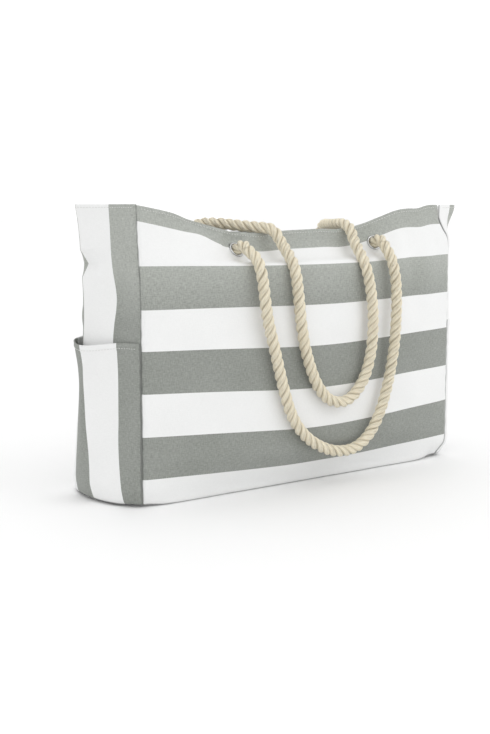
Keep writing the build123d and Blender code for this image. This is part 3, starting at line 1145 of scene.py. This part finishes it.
def make_eyelets():
    """At each eyelet, a barrel with a rolled flange outside the cloth, and a washer inside it."""
    barrel = [(8.0, -5.0), (8.0, 0.6)]
    flange = barrel + arc(9.4, 0.4, 1.4, 1.8, 175, 5, 12) + [(10.8, 0.0), (8.5, -0.1), (8.5, -5.0)]
    washer = arc(11.0, -3.9, 2.3, 1.5, 0, -180, 10) + [(8.7, -3.8)]
    for (face, side), (centre, normal) in EYELETS.items():
        corner = face + "_" + side
        for kind, profile in (("eyelet", flange), ("washer", washer)):
            ring = lathe(corner + "_" + kind + "_ring", profile, centre, normal)
            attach(ring, "bag")
            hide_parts(corner + "_" + kind)


make_base()
make_panels()
make_pockets()
make_linings()
make_stitching()
make_eyelets()


# ---------------- ropes


ROPE_STEP = 1.6 * MM
SAME_POINT = 1e-7
NO_ROPE_WAY = (0.31, 0.17, 0.93)  # a direction that no rope starts in
STRAND_SIDES = 16
LAY_WANDER = 0.12
LAY_WANDER_STEP = 37 * MM
SWELL = 0.03  # the strands swell a little along the rope
SWELL_STEP = 11 * MM
GROOVE_SHADE_TOP = 0.97  # painted shade darkens the rope from this share of its radius inward, over the next
GROOVE_SHADE_DEPTH = 0.34


def spline_line(name, points):
    """The points of one smooth curve with these control points, as Blender's NURBS gives them."""
    curve = bpy.data.curves.new(name, "CURVE")
    curve.dimensions = "3D"
    curve.resolution_u = 24
    spline = curve.splines.new("NURBS")
    spline.points.add(len(points) - 1)
    for point, place in zip(spline.points, points):
        point.co = (*place, 1)
    spline.order_u = 3
    spline.use_endpoint_u = True
    holder = bpy.data.objects.new(name, curve)
    bpy.context.scene.collection.objects.link(holder)
    bpy.context.view_layer.update()
    read = bpy.data.meshes.new_from_object(holder.evaluated_get(bpy.context.evaluated_depsgraph_get()))
    line = np.array([v.co for v in read.vertices])
    bpy.data.objects.remove(holder)
    bpy.data.meshes.remove(read)
    bpy.data.curves.remove(curve)
    return line


def even_line(line):
    """A polyline read at even steps, with its running length."""
    lengths = running_length(line)
    keep = np.concatenate([[True], np.diff(lengths) > SAME_POINT])
    along = np.linspace(0, lengths[-1], round(lengths[-1] / ROPE_STEP) + 1)
    return read_line(line[keep], lengths[keep], along), along


def carried_frames(line):
    """Two cross directions that turn as little as they can along a line."""
    tangents = np.gradient(line, axis=0)
    tangents /= np.linalg.norm(tangents, axis=1, keepdims=True)
    side = np.cross(tangents[0], NO_ROPE_WAY)
    side /= np.linalg.norm(side)
    sides = []
    for t in tangents:
        side = side - (side @ t) * t
        side = side / np.linalg.norm(side)
        sides.append(side)
    return np.array(sides), np.cross(tangents, sides)


def laid_rope(name, line, along, sides, ups, radius=ROPE_RADIUS):
    """Three strands twisted right-handed about a line, each a closed tube."""
    verts = []
    faces = []
    uvs = []
    grooves = []
    strand_radius = radius * STRAND_RADIUS / ROPE_RADIUS
    offset = radius - strand_radius
    angles = 2 * math.pi * np.arange(STRAND_SIDES) / STRAND_SIDES
    for strand in range(3):
        wander = LAY_WANDER * np.sin(along / LAY_WANDER_STEP + strand)
        turn = 2 * math.pi * (along / LAY + strand / 3) + wander
        out = np.cos(turn)[:, None] * sides + np.sin(turn)[:, None] * ups
        centre = line + offset * out
        tangent = np.gradient(centre, axis=0)
        tangent /= np.linalg.norm(tangent, axis=1, keepdims=True)
        first = out - np.sum(out * tangent, axis=1)[:, None] * tangent
        first /= np.linalg.norm(first, axis=1, keepdims=True)
        second = np.cross(tangent, first)
        size = strand_radius * (1 + SWELL * np.sin(along / SWELL_STEP + 2.1 * strand))
        base = len(verts)
        for k in range(len(line)):
            ways = np.cos(angles)[:, None] * first[k] + np.sin(angles)[:, None] * second[k]
            ring = centre[k] + size[k] * ways
            reach = np.linalg.norm(ring - line[k], axis=1) / radius
            verts.extend(ring)
            # painted shade for the hollows between strands, kept as a vertex attribute
            grooves.extend(np.clip((GROOVE_SHADE_TOP - reach) / GROOVE_SHADE_DEPTH, 0, 1))
            uvs.extend(np.stack([angles / (2 * math.pi), np.full(STRAND_SIDES, along[k])], -1))
        for k in range(len(line) - 1):
            for m in range(STRAND_SIDES):
                n = (m + 1) % STRAND_SIDES
                low = base + k * STRAND_SIDES
                high = low + STRAND_SIDES
                faces.append([low + m, low + n, high + n, high + m])
        faces.append([base + m for m in reversed(range(STRAND_SIDES))])
        faces.append([base + (len(line) - 1) * STRAND_SIDES + m for m in range(STRAND_SIDES)])
    rope = new_object(name, verts, faces, ROPE_COTTON)
    set_uv(rope.data, "yarn", uvs)
    painted_groove_shade = rope.data.attributes.new("painted_groove_shade", "FLOAT", "POINT")
    painted_groove_shade.data.foreach_set("value", np.asarray(grooves, np.float32))
    return rope


def metres(points):
    """Points in mm, as tuples in metres."""
    return [tuple(c * MM for c in p) for p in points]


def make_handle(face, middle_route, end_length, turn, bend):
    """A handle's rope: an end piece at each eyelet and the long piece between them, along one smooth line."""
    left, left_out = EYELETS[face, "left"]
    right, right_out = EYELETS[face, "right"]
    route = [left - left_out * STEM_DEPTH, left + left_out * PIVOT_HEIGHT]
    route += metres(middle_route)
    route += [right + right_out * PIVOT_HEIGHT, right - right_out * STEM_DEPTH]
    line, along = even_line(spline_line(face + "_route", route))
    sides, ups = carried_frames(line)
    start = int(np.searchsorted(along, end_length))
    end = int(np.searchsorted(along, along[-1] - end_length))
    spans = {"left": slice(0, start + 1), "middle": slice(start, end + 1), "right": slice(end, len(line))}
    pieces = {}
    for part, span in spans.items():
        name = face + ("_handle_loop" if part == "middle" else "_" + part + "_rope_end")
        pieces[part] = laid_rope(name, line[span], along[span], sides[span], ups[span])
    for side, centre in (("left", left), ("right", right)):
        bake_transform(pieces[side])
        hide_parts(face + "_" + side + "_rope")
    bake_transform(pieces["middle"])
    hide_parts(face + "_handle_rope")


KNOT_ROPE_RADIUS = 6.2 * MM
KNOT_TURNS = 2.3
KNOT_POINTS_A_TURN = 12
KNOT_CORE = np.array([4, 14, 24, 31.5]) * MM  # the straight run in, by depth inside the panel
KNOT_FAR = 35.5 * MM
KNOT_NEAR = 15 * MM
KNOT_REACH = 11.6 * MM
KNOT_FIRST_REACH = 0.45
KNOT_OPENING = 2.2
KNOT_TAIL = 12 * MM
KNOT_TAIL_OUT = 4 * MM


def make_knot(face, side):
    """The stopper knot inside the bag: the rope runs in, turns back and winds about itself."""
    centre, normal = EYELETS[face, side]
    first = np.array(Vector(normal).orthogonal().normalized())
    second = np.cross(normal, first)
    route = [centre - normal * depth for depth in KNOT_CORE]
    count = round(KNOT_TURNS * KNOT_POINTS_A_TURN)
    for k in range(count + 1):
        share = k / count
        turn = 2 * math.pi * KNOT_TURNS * share
        reach = KNOT_REACH * min(1, KNOT_FIRST_REACH + KNOT_OPENING * share)
        out = math.cos(turn) * first + math.sin(turn) * second
        route.append(centre - normal * (KNOT_FAR - (KNOT_FAR - KNOT_NEAR) * share) + reach * out)
    tail = math.cos(turn) * second - math.sin(turn) * first
    route.append(route[-1] + KNOT_TAIL * tail + KNOT_TAIL_OUT * out)
    line, along = even_line(spline_line(face + side, route))
    sides, ups = carried_frames(line)
    knot = laid_rope(face + "_" + side + "_stopper_knot", line, along, sides, ups, KNOT_ROPE_RADIUS)
    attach(knot, "bag")
    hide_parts(face + "_" + side + "_knot")


for handle_face, handle in HANDLES.items():
    make_handle(handle_face, *handle)

for knot_face, knot_side in EYELETS:
    make_knot(knot_face, knot_side)
